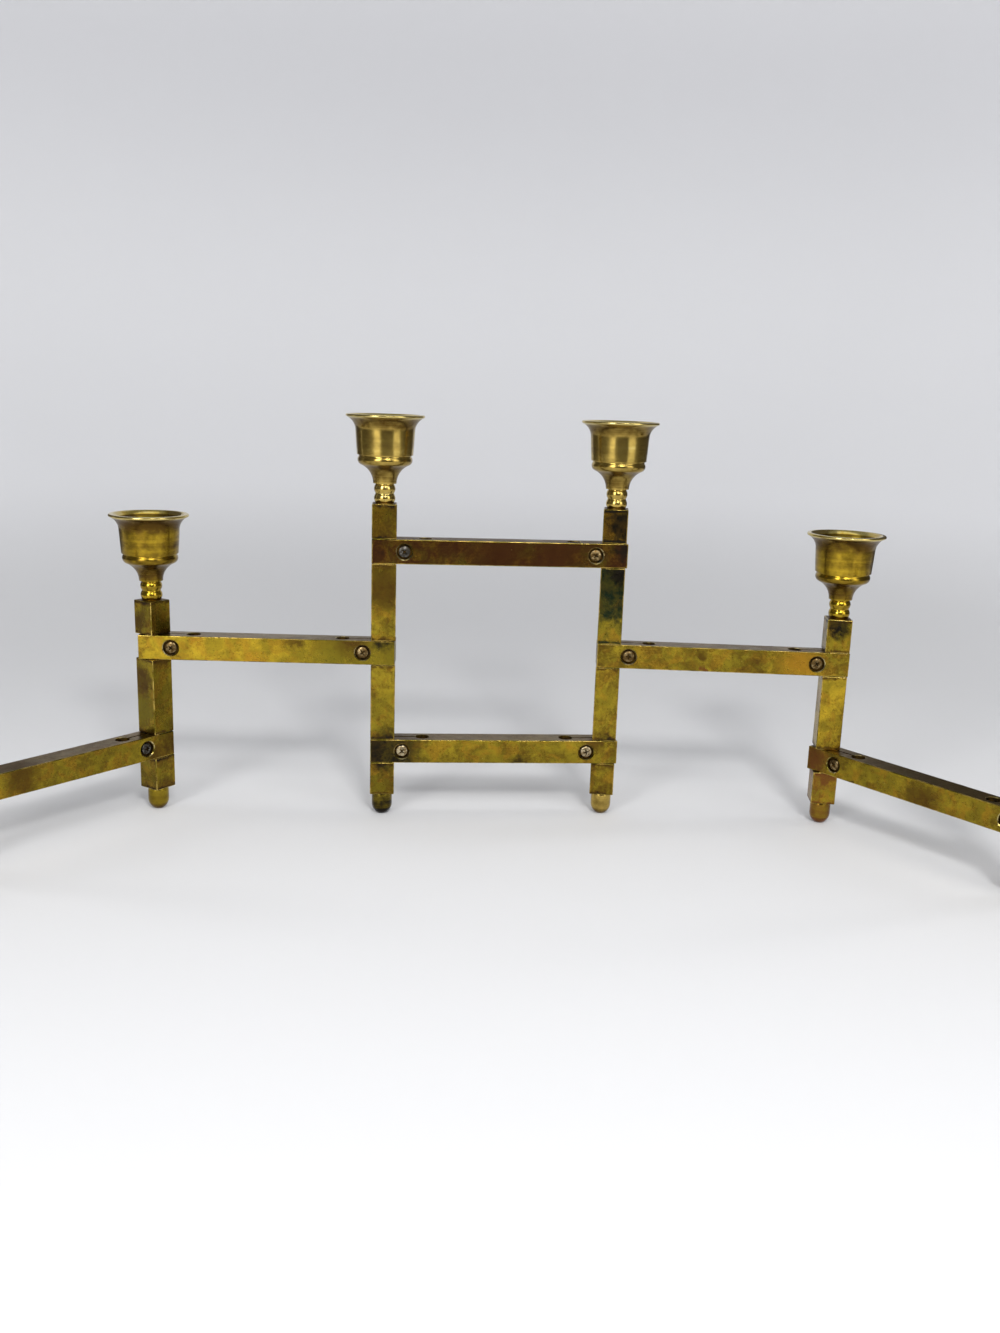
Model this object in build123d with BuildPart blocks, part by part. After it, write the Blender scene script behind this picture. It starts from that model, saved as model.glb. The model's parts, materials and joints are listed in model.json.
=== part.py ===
from build123d import *
import os
from math import cos, sin, radians

# Folding tabletop candelabra: six columns joined by six square bars that swing on them.
# Millimetres and degrees, +Z up. The row's origin is on the floor, in the middle of the
# ground that the candelabra covers, with the centre arms along X and their screws facing -Y.

# --- Square bar, arms and heights -------------------------------------------------------
bar = 12.0                    # side of the square bar that arms and blocks are cut from
arm_length = 125.0            # end to end
level_pitch = 50.2            # from one arm level to the next
end_block_height = 16.7       # block above a column's top arm, and block below its low arm
foot_height = 11.4
edge_break = 0.4              # bevel on every outer edge of the bar
face_gap = 0.1                # running gap above and below an arm

# --- Rod through each column ------------------------------------------------------------
rod_diameter = 6.0
rod_bevel = 0.5
pivot_clearance = 0.05        # radial, between a rod and an arm's bore
cup_thread = 12.0             # how far the rod screws up into the cup
thread_run_out = 0.5          # spare depth past each end of the rod

# --- Clamp at each end of an arm --------------------------------------------------------
slit_width = 1.2
pivot_to_screw = 9.8          # along the arm, from the pivot to the clamp screw
screw_to_relief = 10.2        # and on to the hole that ends the slit
relief_diameter = 6.8
screw_diameter = 3.0
screw_clearance = 0.2         # radial, in the jaw under the head
screw_end_wall = 1.4          # metal left behind the screw's tip
tap_run_out = 0.4             # spare depth past the screw's tip
head_diameter = 5.5
head_height = 2.0
head_crown = 0.5              # height of the head's domed top
head_recess = 0.3             # how deep the head lies under the bar's face
head_clearance = 1.05         # radial, between the head and its counterbore
cross_length = 3.2
cross_width = 0.75
cross_depth = 1.1

# --- Candle cup: diameters --------------------------------------------------------------
candle_bore = 22.6            # for a standard taper, 22.2 mm across
groove_wall = 1.3             # wall around the bore, at the groove
body_base_wall = 2.1          # at the bottom of the body
body_top_wall = 2.85          # where the outside starts to flare
rim_overhang = 7.5            # from the bore out to the rim
lip_width = 1.8               # from the rim in to the mouth
lip_radius = 0.7
ring_stand = 0.5              # how far the ring stands out from the groove
funnel_set_back = 1.0         # how far the funnel's top lies inside the groove
stem_wall = 1.5               # wall around the rod, between the beads
bead_stand = 0.65             # how far the beads stand out from the stem
collar_stand = 1.15           # how far the funnel's foot stands out from the stem

# --- Candle cup: heights, from its bottom up --------------------------------------------
neck_height = 0.5             # plain neck under, between and over the two beads
bead_height = 4.0
funnel_height = 8.8
ring_height = 3.9
groove_height = 0.8
body_height = 11.2
flare_height = 6.3
floor_wall = 2.7              # from the funnel's top to the bore's floor
mouth_height = 9.0            # from the top of the straight bore to the lip

# --- Foot -------------------------------------------------------------------------------
foot_wall = 2.1               # around the rod
foot_shoulder_step = 0.4      # how much narrower the foot is where it meets the block
foot_shoulder_height = 2.5
foot_dome_height = 5.2        # rounded lower end
foot_flat_diameter = 4.4      # flat tip that stands on the table
foot_tip_wall = 4.0           # metal below the rod's end

# --- Plan: where the arms lie, seen from above, anticlockwise from +X -------------------
left_outer_heading = 47.5     # from the left outer to the left middle column
left_inner_heading = -3.5     # from the left middle to the left inner column
right_inner_heading = -7.0    # from the right inner to the right middle column
right_outer_heading = -58.0   # from the right middle to the right outer column

# --- Worked out from the sizes above ----------------------------------------------------
pivot_pitch = arm_length - bar
arm_bottom = [foot_height + end_block_height + n * level_pitch for n in range(3)]

head_seat = head_recess + head_height
tip_depth = bar - screw_end_wall
screw_centre = pivot_pitch / 2 - pivot_to_screw
relief_centre = screw_centre - screw_to_relief
slit_length = pivot_to_screw + screw_to_relief
slit_centre = relief_centre + slit_length / 2

funnel_base = 3 * neck_height + 2 * bead_height
ring_base = funnel_base + funnel_height
groove_base = ring_base + ring_height
body_base = groove_base + groove_height
flare_base = body_base + body_height
lip_base = flare_base + flare_height
cup_height = lip_base + 2 * lip_radius
cup_floor = ring_base + floor_wall
bore_top = cup_height - mouth_height

bore_radius = candle_bore / 2
groove_radius = bore_radius + groove_wall
rim_radius = bore_radius + rim_overhang
stem_radius = rod_diameter / 2 + stem_wall
bead_radius = stem_radius + bead_stand

foot_radius = rod_diameter / 2 + foot_wall


def along(start, heading, distance):
    """The point in plan at a distance from another, along a heading."""
    x = start[0] + distance * cos(radians(heading))
    y = start[1] + distance * sin(radians(heading))
    return (x, y)


left_inner = (-pivot_pitch / 2, 0.0)
right_inner = (pivot_pitch / 2, 0.0)
left_middle = along(left_inner, left_inner_heading, -pivot_pitch)
left_outer = along(left_middle, left_outer_heading, -pivot_pitch)
right_middle = along(right_inner, right_inner_heading, pivot_pitch)
right_outer = along(right_middle, right_outer_heading, pivot_pitch)

pivots = [left_outer, left_middle, left_inner, right_inner, right_middle, right_outer]
middle_x = (min(p[0] for p in pivots) + max(p[0] for p in pivots)) / 2
middle_y = (min(p[1] for p in pivots) + max(p[1] for p in pivots)) / 2

# name, pivot, number of arm levels, turn of its square blocks
columns = [
    ("left_outer", left_outer, 1, left_outer_heading),
    ("left_middle", left_middle, 2, 51.5),
    ("left_inner", left_inner, 3, 0.0),
    ("right_inner", right_inner, 3, -10.0),
    ("right_middle", right_middle, 2, -10.5),
    ("right_outer", right_outer, 1, right_outer_heading),
]

# name, left pivot, heading, level counted from the floor
arms = [
    ("left_arm_outer", left_outer, left_outer_heading, 0),
    ("left_arm_inner", left_middle, left_inner_heading, 1),
    ("centre_arm_low", left_inner, 0.0, 0),
    ("centre_arm_top", left_inner, 0.0, 2),
    ("right_arm_inner", right_inner, right_inner_heading, 1),
    ("right_arm_outer", right_middle, right_outer_heading, 0),
]


def seat_at(pivot, height, heading):
    """A level work plane at a place in plan, turned to a heading."""
    return Plane(
        origin=(pivot[0] - middle_x, pivot[1] - middle_y, height),
        x_dir=(cos(radians(heading)), sin(radians(heading)), 0),
        z_dir=(0, 0, 1),
    )


def upright(seat):
    """The vertical plane through a seat's x axis, for outlines that are turned."""
    return Plane(origin=seat.origin, x_dir=seat.x_dir, z_dir=-seat.y_dir)


def save(solid, label):
    """Name a finished piece and write it to its own STEP file."""
    solid.label = label
    export_step(solid, f"parts/{label}.step")


os.makedirs("parts", exist_ok=True)

# --- Arms: square bars with a slit clamp at each end ------------------------------------
for name, left_pivot, heading, level in arms:
    middle = along(left_pivot, heading, pivot_pitch / 2)
    seat = seat_at(middle, arm_bottom[level], heading)
    front = Plane(
        origin=seat.from_local_coords(Vector(0, -bar / 2, bar / 2)),
        x_dir=seat.x_dir,
        z_dir=-seat.y_dir,
    )

    with BuildPart() as arm:
        with BuildSketch(seat):
            Rectangle(arm_length, bar)
        extrude(amount=bar)
        chamfer(arm.edges(), length=edge_break)
        with BuildSketch(seat):
            with GridLocations(pivot_pitch, 0, 2, 1):
                Circle(rod_diameter / 2 + pivot_clearance)
            with GridLocations(2 * relief_centre, 0, 2, 1):
                Circle(relief_diameter / 2)
            with GridLocations(2 * slit_centre, 0, 2, 1):
                Rectangle(slit_length, slit_width)
        extrude(amount=bar, mode=Mode.SUBTRACT)
        with BuildSketch(front):
            with GridLocations(2 * screw_centre, 0, 2, 1):
                Circle(head_diameter / 2 + head_clearance)
        extrude(amount=-head_seat, mode=Mode.SUBTRACT)
        with BuildSketch(front):
            with GridLocations(2 * screw_centre, 0, 2, 1):
                Circle(screw_diameter / 2 + screw_clearance)
        extrude(amount=-bar / 2, mode=Mode.SUBTRACT)
        with BuildSketch(front):
            with GridLocations(2 * screw_centre, 0, 2, 1):
                Circle(screw_diameter / 2)
        extrude(amount=-(tip_depth + tap_run_out), mode=Mode.SUBTRACT)
    save(arm.part, name)

    with BuildPart() as clamp_screws:
        for side in (-1, 1):
            head_base = front.offset(-head_seat)
            screw_plane = Plane(
                origin=head_base.from_local_coords(Vector(side * screw_centre, 0, 0)),
                x_dir=seat.x_dir,
                z_dir=head_base.z_dir,
            )
            with BuildSketch(upright(screw_plane)):
                with BuildLine():
                    shank = Polyline(
                        (0, head_height),
                        (0, head_seat - tip_depth),
                        (screw_diameter / 2, head_seat - tip_depth),
                        (screw_diameter / 2, 0),
                        (head_diameter / 2, 0),
                        (head_diameter / 2, head_height - head_crown),
                    )
                    ThreePointArc(
                        shank @ 1,
                        (head_diameter / 4, head_height - head_crown / 4),
                        shank @ 0,
                    )
                make_face()
            revolve(axis=Axis(screw_plane.origin, screw_plane.z_dir))
        with BuildSketch(front.offset(-head_recess)):
            with GridLocations(2 * screw_centre, 0, 2, 1):
                with PolarLocations(0, 2, angular_range=90, endpoint=True):
                    Rectangle(cross_length, cross_width)
        extrude(amount=-cross_depth, mode=Mode.SUBTRACT)
    save(clamp_screws.part, f"{name}_screws")

# --- Columns: foot, square blocks and cup, all threaded on one rod ----------------------
for name, pivot, arm_count, turn in columns:
    cap_bottom = arm_bottom[arm_count - 1] + bar
    cup_bottom = cap_bottom + end_block_height

    # Blocks: one under the low arm, one between each pair of arms, one over the top arm.
    blocks = [("base_block", foot_height, end_block_height - face_gap)]
    for n in range(1, arm_count):
        spacer_bottom = arm_bottom[n - 1] + bar + face_gap
        blocks.append((f"spacer_{n}", spacer_bottom, level_pitch - bar - 2 * face_gap))
    blocks.append(("cap_block", cap_bottom + face_gap, end_block_height - face_gap))

    for block_name, block_floor, block_height in blocks:
        seat = seat_at(pivot, block_floor, turn)
        with BuildPart() as block:
            with BuildSketch(seat):
                Rectangle(bar, bar)
            extrude(amount=block_height)
            chamfer(block.edges(), length=edge_break)
            with BuildSketch(seat):
                Circle(rod_diameter / 2)
            extrude(amount=block_height, mode=Mode.SUBTRACT)
        save(block.part, f"{name}_{block_name}")

    with BuildPart() as rod:
        with BuildSketch(seat_at(pivot, foot_tip_wall, turn)):
            Circle(rod_diameter / 2)
        extrude(amount=cup_bottom + cup_thread - foot_tip_wall)
        chamfer(rod.edges(), length=rod_bevel)
    save(rod.part, f"{name}_rod")

    foot_seat = seat_at(pivot, 0, turn)
    with BuildPart() as foot:
        with BuildSketch(upright(foot_seat)):
            with BuildLine():
                Polyline(
                    (foot_flat_diameter / 2, 0),
                    (0, 0),
                    (0, foot_height),
                    (foot_radius - foot_shoulder_step, foot_height),
                )
                shoulder = TangentArc(
                    (foot_radius, foot_height - foot_shoulder_height),
                    (foot_radius - foot_shoulder_step, foot_height),
                    tangent=(0, 1),
                )
                side = Line(shoulder @ 0, (foot_radius, foot_dome_height))
                TangentArc(
                    side @ 1,
                    (foot_flat_diameter / 2, 0),
                    tangent=(0, -1),
                )
            make_face()
        revolve(axis=Axis(foot_seat.origin, foot_seat.z_dir))
        with BuildSketch(foot_seat.offset(foot_tip_wall - thread_run_out)):
            Circle(rod_diameter / 2)
        extrude(amount=foot_height, mode=Mode.SUBTRACT)
    save(foot.part, f"{name}_foot")

    cup_seat = seat_at(pivot, cup_bottom, turn)
    low_bead_base = neck_height
    high_bead_base = low_bead_base + bead_height + neck_height
    with BuildPart() as cup:
        with BuildSketch(upright(cup_seat)):
            with BuildLine():
                base = Polyline(
                    (0, cup_floor),
                    (0, 0),
                    (stem_radius, 0),
                    (stem_radius, low_bead_base),
                )
                low_bead = ThreePointArc(
                    base @ 1,
                    (bead_radius, low_bead_base + bead_height / 2),
                    (stem_radius, low_bead_base + bead_height),
                )
                neck = Line(low_bead @ 1, (stem_radius, high_bead_base))
                high_bead = ThreePointArc(
                    neck @ 1,
                    (bead_radius, high_bead_base + bead_height / 2),
                    (stem_radius, high_bead_base + bead_height),
                )
                collar = Polyline(
                    high_bead @ 1,
                    (stem_radius, funnel_base),
                    (stem_radius + collar_stand, funnel_base),
                )
                funnel = TangentArc(
                    collar @ 1,
                    (groove_radius - funnel_set_back, ring_base),
                    tangent=(0, 1),
                )
                ring = ThreePointArc(
                    funnel @ 1,
                    (groove_radius + ring_stand, ring_base + ring_height * 0.6),
                    (groove_radius, groove_base),
                )
                body = Polyline(
                    ring @ 1,
                    (groove_radius, body_base),
                    (bore_radius + body_base_wall, body_base),
                    (bore_radius + body_top_wall, flare_base),
                )
                flare = TangentArc(
                    body @ 1,
                    (rim_radius - lip_radius, lip_base),
                    tangent=(0, 1),
                )
                lip = ThreePointArc(
                    flare @ 1,
                    (rim_radius, lip_base + lip_radius),
                    (rim_radius - lip_radius, cup_height),
                )
                lip_top = Line(lip @ 1, (rim_radius - lip_width, cup_height))
                mouth = TangentArc(
                    (bore_radius, bore_top),
                    lip_top @ 1,
                    tangent=(0, 1),
                )
                Polyline(mouth @ 0, (bore_radius, cup_floor), (0, cup_floor))
            make_face()
        revolve(axis=Axis(cup_seat.origin, cup_seat.z_dir))
        with BuildSketch(cup_seat):
            Circle(rod_diameter / 2)
        extrude(amount=cup_thread + thread_run_out, mode=Mode.SUBTRACT)
    save(cup.part, f"{name}_cup")
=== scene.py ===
# %% [markdown]
# A folding tabletop candelabra, finished for rendering.
#
# The real object is a chain of square brass bars. Each bar is clamped on upright rods, and each
# rod carries square blocks, a turned candle cup and a small dome foot. The CAD model fixes every
# size and place. This notebook models the same pieces again with the detail that a hand and an
# eye would notice: rubbed edges, small dents, cross-head screws and an uneven brown tarnish.

# %% Load the frame
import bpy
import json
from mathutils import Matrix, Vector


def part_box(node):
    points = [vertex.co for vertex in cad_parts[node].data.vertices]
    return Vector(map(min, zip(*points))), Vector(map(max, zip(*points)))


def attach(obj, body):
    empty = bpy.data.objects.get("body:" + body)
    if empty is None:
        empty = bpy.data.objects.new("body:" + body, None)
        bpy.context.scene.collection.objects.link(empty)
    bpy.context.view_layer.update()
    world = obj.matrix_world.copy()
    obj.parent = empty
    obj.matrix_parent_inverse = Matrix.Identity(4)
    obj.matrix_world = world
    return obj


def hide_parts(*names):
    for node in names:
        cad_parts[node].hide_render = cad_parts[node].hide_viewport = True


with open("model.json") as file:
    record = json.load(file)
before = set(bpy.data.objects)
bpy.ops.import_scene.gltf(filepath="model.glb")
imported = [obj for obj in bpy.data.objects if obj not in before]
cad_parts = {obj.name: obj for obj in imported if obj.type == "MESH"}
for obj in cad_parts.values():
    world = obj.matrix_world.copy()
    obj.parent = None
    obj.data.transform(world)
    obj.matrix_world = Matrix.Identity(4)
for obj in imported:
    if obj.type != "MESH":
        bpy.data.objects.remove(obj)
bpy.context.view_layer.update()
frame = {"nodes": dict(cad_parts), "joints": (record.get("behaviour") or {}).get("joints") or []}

import json
import math
import random
import bpy
from mathutils import Vector

bpy.ops.object.select_all(action="DESELECT")

# %% [markdown]
# Blender works in metres, and this object is made of small parts, so sizes below are written in
# millimetres and multiplied by `MM`. Places are never typed in: they come from the frame, either
# from a joint's axis or from the box around a node.

# %% Sizes and places from the frame
MM = 0.001

COLUMNS = ["left_outer", "left_middle", "left_inner", "right_inner", "right_middle", "right_outer"]
ARMS = {
    # arm: the columns at its two ends, and the body it moves with
    "left_arm_outer": ("left_outer", "left_middle", "left_outer_arm"),
    "left_arm_inner": ("left_middle", "left_inner", "left_inner_arm"),
    "centre_arm_low": ("left_inner", "right_inner", "centre_frame"),
    "centre_arm_top": ("left_inner", "right_inner", "centre_frame"),
    "right_arm_inner": ("right_inner", "right_middle", "right_inner_arm"),
    "right_arm_outer": ("right_middle", "right_outer", "right_outer_arm"),
}

pivot = {}
for joint in frame["joints"]:
    if joint["name"].endswith("_turn"):
        pivot[joint["name"].removesuffix("_turn")] = Vector(joint["pos_m"])

low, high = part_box("centre_arm_top")
bar = high.z - low.z
arm_length = high.x - low.x
pivot_pitch = arm_length - bar
rod_radius = (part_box("left_inner_rod")[1].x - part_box("left_inner_rod")[0].x) / 2
print(f"bar {bar / MM:.1f} mm, arm {arm_length / MM:.1f} mm, rod {2 * rod_radius / MM:.1f} mm")

# %% [markdown]
# The camera stands a little to the left of the middle, about half a metre away and just above
# the candle cups, and looks slightly down. The frame is upright, and Blender measures `lens`
# against its longer side, which here is the height.

# %% Camera
camera_data = bpy.data.cameras.new("camera")
camera = bpy.data.objects.new("camera", camera_data)
bpy.context.scene.collection.objects.link(camera)
camera.location = (-0.0433, -0.5277, 0.2133)
camera.rotation_euler = [math.radians(angle) for angle in (76.802, -1.820, -4.871)]
camera_data.lens = 32.17
camera_data.clip_start = 0.02
bpy.context.scene.camera = camera

# %% [markdown]
# ## Floor and backdrop
#
# The object stands on a pale sheet that curves up into a wall, so no horizon shows. A
# ring of points is pushed out and up step by step, which makes the same bowl in every direction,
# so the piece can be looked at from any side.

# %% A bowl-shaped paper sweep
SWEEP_FLAT = 0.5
SWEEP_CURVE = 1.35
SWEEP_WALL = 0.9
SWEEP_STEPS = 40


def ring_step(radius_from, radius_to, rise):
    """Extrude the selected ring of edges to a new radius, and lift it."""
    bpy.ops.mesh.extrude_edges_move()
    share = radius_to / radius_from
    bpy.ops.transform.resize(value=(share, share, 1), center_override=(0, 0, 0))
    bpy.ops.transform.translate(value=(0, 0, rise))


bpy.ops.mesh.primitive_circle_add(vertices=96, radius=SWEEP_FLAT, fill_type="NGON")
floor = bpy.context.object
floor.name = "paper_sweep"
bpy.ops.object.mode_set(mode="EDIT")
bpy.ops.mesh.select_all(action="SELECT")
radius = SWEEP_FLAT
height = 0.0
for step in range(1, SWEEP_STEPS + 1):
    angle = math.pi / 2 * step / SWEEP_STEPS
    next_radius = SWEEP_FLAT + SWEEP_CURVE * math.sin(angle)
    next_height = SWEEP_CURVE * (1 - math.cos(angle))
    bpy.ops.mesh.select_all(action="DESELECT")
    bpy.ops.mesh.select_non_manifold()
    ring_step(radius, next_radius, next_height - height)
    radius = next_radius
    height = next_height
bpy.ops.mesh.select_all(action="DESELECT")
bpy.ops.mesh.select_non_manifold()
ring_step(radius, radius, SWEEP_WALL)
bpy.ops.object.mode_set(mode="OBJECT")
bpy.ops.object.shade_smooth()
floor.select_set(False)

# %% [markdown]
# ## Light
#
# Polished metal has no colour of its own to show, only what it mirrors. So the lights are laid out
# for their reflections: two soft boxes in front give each cup its two upright streaks, two more at
# the sides light the edges of the rings, and the gaps between them stay dim, which draws the dark
# bands that make the cups look round. A large lamp overhead keeps the paper white, four wall
# washes light the paper all round, and a small lamp in front throws the soft shadows that lie
# behind the feet and the bars.

# %% Lamps
AIM_HEIGHT = 0.1
WALL_TILT = -0.28
NEAR_FLOOR_TILT = -4
LAMPS = {
    # lamp: bearing from the front (-Y), distance, height, width, tall, power
    "front_left": (-35, 0.95, 0.50, 0.28, 0.60, 4.4),
    "front_right": (46, 0.95, 0.50, 0.34, 0.60, 1.8),
    "side_left": (-100, 0.9, 0.45, 0.10, 0.40, 0.9),
    "side_right": (97, 0.9, 0.45, 0.10, 0.40, 0.9),
    "near_floor": (0, 0.80, 0.95, 1.1, 0.4, 5.8),
    "overhead": (180, 0.10, 1.5, 1.2, 0.7, 2.2),
    "shadow_key": (9, 0.95, 0.78, 0.22, 0.16, 8.5),
    "wall_wash_40": (40, 0.9, 1.55, 1.3, 0.4, 2.6),
    "wall_wash_140": (140, 0.9, 1.55, 1.3, 0.4, 8.8),
    "wall_wash_220": (220, 0.9, 1.55, 1.3, 0.4, 8.8),
    "wall_wash_320": (320, 0.9, 1.55, 1.3, 0.4, 2.6),
}


def soft_box(name, bearing, distance, height, width, tall, power):
    """An area lamp that faces the object, or the wall behind it if it is a wall wash."""
    lamp = bpy.data.lights.new(name, "AREA")
    lamp.shape = "RECTANGLE"
    lamp.size = width
    lamp.size_y = tall
    lamp.energy = power
    lamp_object = bpy.data.objects.new(name, lamp)
    bpy.context.scene.collection.objects.link(lamp_object)
    angle = math.radians(bearing)
    place = Vector((math.sin(angle) * distance, -math.cos(angle) * distance, height))
    lamp_object.location = place
    ahead = Vector((0, 0, AIM_HEIGHT)) - place
    if name.startswith("wall_wash"):
        ahead = Vector((place.x, place.y, WALL_TILT))
    lamp_object.rotation_euler = ahead.to_track_quat("-Z", "Y").to_euler()
    lamp_object.visible_camera = False
    return lamp_object


lamps = {name: soft_box(name, *numbers) for name, numbers in LAMPS.items()}
lamps["near_floor"].rotation_euler = (math.radians(NEAR_FLOOR_TILT), 0, 0)
print("lamps:", len(lamps))

world = bpy.data.worlds.new("studio")
bpy.context.scene.world = world
world.use_nodes = True
world.node_tree.nodes["Background"].inputs["Color"].default_value = (0.80, 0.84, 0.90, 1)
world.node_tree.nodes["Background"].inputs["Strength"].default_value = 0.35

# %% [markdown]
# Beyond the lamps a real room is dim, and polished metal needs that darkness to mirror. Dark
# cards stand in for it. The front card starts at the near edge of the lit paper, so a low upright
# face mirrors bright paper and a high one mirrors the dim room. The cards only show in
# reflections.

# %% Dark cards
CARD_HEIGHT = 0.515
card_grey = bpy.data.materials.new("card_grey")
card_grey.use_nodes = True
card_shader = card_grey.node_tree.nodes["Principled BSDF"]
card_shader.inputs["Base Color"].default_value = (0.075, 0.068, 0.058, 1)
card_shader.inputs["Roughness"].default_value = 0.9
CARDS = {
    # card: bearing from the front, distance, width
    "card_front": (4, 0.55, 0.60),
    "card_left": (-78, 0.74, 0.78),
    "card_right": (84, 0.74, 0.62),
    "card_back_left": (-128, 0.74, 0.52),
    "card_back_right": (126, 0.74, 0.52),
}
for name, (bearing, distance, width) in CARDS.items():
    angle = math.radians(bearing)
    bpy.ops.mesh.primitive_plane_add(size=1, location=(0, 0, 0))
    card = bpy.context.object
    card.name = name
    card.scale = (width, 1, 1)
    card.rotation_euler = (math.pi / 2, 0, angle)
    card.location = (math.sin(angle) * distance, -math.cos(angle) * distance, CARD_HEIGHT)
    card.data.materials.append(card_grey)
    card.visible_camera = False
    card.visible_diffuse = False
    card.visible_shadow = False
    card.select_set(False)
print("dark cards:", len(CARDS))

bpy.context.scene.view_settings.view_transform = "Standard"
bpy.context.scene.view_settings.look = "None"

# %% [markdown]
# ## Shader arithmetic
#
# A finish is built from many small sums: this noise times that mask, one minus the wear. Written
# as Math nodes by hand that is pages of links, so `Signal` wraps one socket and lets Python's own
# `+`, `-` and `*` add the nodes. `Finish.node` adds every other kind of node.

# %% Signal and Finish
class Signal:
    """One number that varies over the surface. Arithmetic on it adds Math nodes."""

    def __init__(self, finish, socket):
        self.finish = finish
        self.socket = socket

    def _maths(self, operation, first, second):
        return self.finish.node("ShaderNodeMath", {"operation": operation}, {0: first, 1: second})

    def __add__(self, other):
        return self._maths("ADD", self, other)

    def __radd__(self, other):
        return self._maths("ADD", other, self)

    def __sub__(self, other):
        return self._maths("SUBTRACT", self, other)

    def __rsub__(self, other):
        return self._maths("SUBTRACT", other, self)

    def __mul__(self, other):
        return self._maths("MULTIPLY", self, other)

    def __rmul__(self, other):
        return self._maths("MULTIPLY", other, self)

    def ramp(self, start, end, start_value=0.0, end_value=1.0):
        """A smooth step from one value to another as the signal goes from start to end."""
        sockets = {"Value": self, "From Min": start, "From Max": end}
        sockets.update({"To Min": start_value, "To Max": end_value})
        return self.finish.node("ShaderNodeMapRange", {"interpolation_type": "SMOOTHSTEP"}, sockets)

    def either(self, other):
        return self._maths("MAXIMUM", self, other)


class Finish:
    """A material under construction."""

    def __init__(self, name):
        self.material = bpy.data.materials.new(name)
        self.material.use_nodes = True
        self.tree = self.material.node_tree
        self.shader = self.tree.nodes["Principled BSDF"]
        self.place = self.node("ShaderNodeTexCoord", output="Object")

    def node(self, kind, settings=None, sockets=None, output=0):
        """Add a node: its settings first, then values or links for its sockets."""
        made = self.tree.nodes.new(kind)
        for key, value in (settings or {}).items():
            setattr(made, key, value)
        for key, value in (sockets or {}).items():
            self.feed(made.inputs[key], value)
        return Signal(self, made.outputs[output])

    def feed(self, socket, value):
        if isinstance(value, Signal):
            self.tree.links.new(value.socket, socket)
        else:
            socket.default_value = value

    def set(self, **values):
        """Feed the Principled shader; base_color stands for its Base Color socket."""
        for key, value in values.items():
            self.feed(self.shader.inputs[key.replace("_", " ").title()], value)

    def local(self, centre, heading=0.0):
        """Coordinates measured from a piece's own foot, and turned with it."""
        sockets = {"Vector": self.place, "Location": centre, "Rotation": (0, 0, heading)}
        return self.node("ShaderNodeMapping", {"vector_type": "TEXTURE"}, sockets)

    def stretched(self, scale, place=None):
        """Coordinates multiplied axis by axis, which draws a noise out into lines."""
        sockets = {0: place or self.place, 1: scale}
        return self.node("ShaderNodeVectorMath", {"operation": "MULTIPLY"}, sockets)

    def noise(self, scale, detail=2.0, rough=0.5, warp=0.0, place=None):
        sockets = {"Vector": place or self.place, "Scale": scale, "Detail": detail}
        sockets.update({"Roughness": rough, "Distortion": warp})
        return self.node("ShaderNodeTexNoise", None, sockets)

    def mix(self, share, first, second):
        """Blend two colours; share 0 gives the first."""
        sockets = {"Factor": share, 6: first, 7: second}
        settings = {"data_type": "RGBA", "clamp_factor": True}
        return self.node("ShaderNodeMix", settings, sockets, output=2)

    def bumped(self, height, distance, strength=1.0, under=None):
        sockets = {"Height": height, "Distance": distance, "Strength": strength}
        if under is not None:
            sockets["Normal"] = under
        return self.node("ShaderNodeBump", None, sockets)


def rgb(red, green, blue):
    return (red, green, blue, 1.0)

# %% [markdown]
# ## Finishes
#
# Old brass that is never polished goes olive, then brown, then nearly black, and it does so in patches.
# Hands rub the edges bright again, and the pale edges also stand in part as a painted highlight. One
# recipe makes every square piece: broad clouds, finger-sized blotches and fine specks are added to one
# number for the tarnish, and that number picks the colour and the roughness together, because tarnished
# brass is both darker and duller.

# %% Palette, as linear colours
# Pale bare brass, used both for clean metal and as a painted highlight on the cups.
BARE_BRASS_AND_HIGHLIGHT = rgb(0.60, 0.475, 0.165)
PALE_BRASS = rgb(0.56, 0.400, 0.095)
YELLOW_BRASS = rgb(0.38, 0.275, 0.022)
GOLD_BRASS = rgb(0.52, 0.350, 0.026)
AMBER_BRASS = rgb(0.38, 0.195, 0.018)
OLIVE_BRASS = rgb(0.19, 0.148, 0.014)
BROWN_TARNISH = rgb(0.100, 0.055, 0.010)
PENNY_TARNISH = rgb(0.062, 0.023, 0.008)
RED_TARNISH = rgb(0.17, 0.065, 0.018)
BLACK_TARNISH = rgb(0.016, 0.013, 0.009)
GREEN_TARNISH = rgb(0.014, 0.024, 0.012)


# %% Aged bar brass
def stain_mask(finish, centre, inner, outer, wobble):
    """1 inside a ragged round stain, 0 outside it. All sizes in metres."""
    settings = {"operation": "DISTANCE"}
    apart = finish.node("ShaderNodeVectorMath", settings, {0: finish.place, 1: centre}, "Value")
    ragged = apart + (finish.noise(310, 3, 0.6) - 0.5) * wobble
    return ragged.ramp(inner, outer, 1.0, 0.0)


def seam_grime(finish, local, seams):
    """Grime that gathers where a piece meets its neighbours: (axis, middle, reach, width, strength)."""
    axis, middle, reach, width, strength = seams
    value = finish.node("ShaderNodeSeparateXYZ", None, {"Vector": local}, axis)
    apart = finish.node("ShaderNodeMath", {"operation": "ABSOLUTE"}, {0: value - middle})
    ragged = apart + (finish.noise(260, 3, 0.6) - 0.5) * width * 2.5
    return ragged.ramp(reach - width, reach, 0.0, strength)


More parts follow.
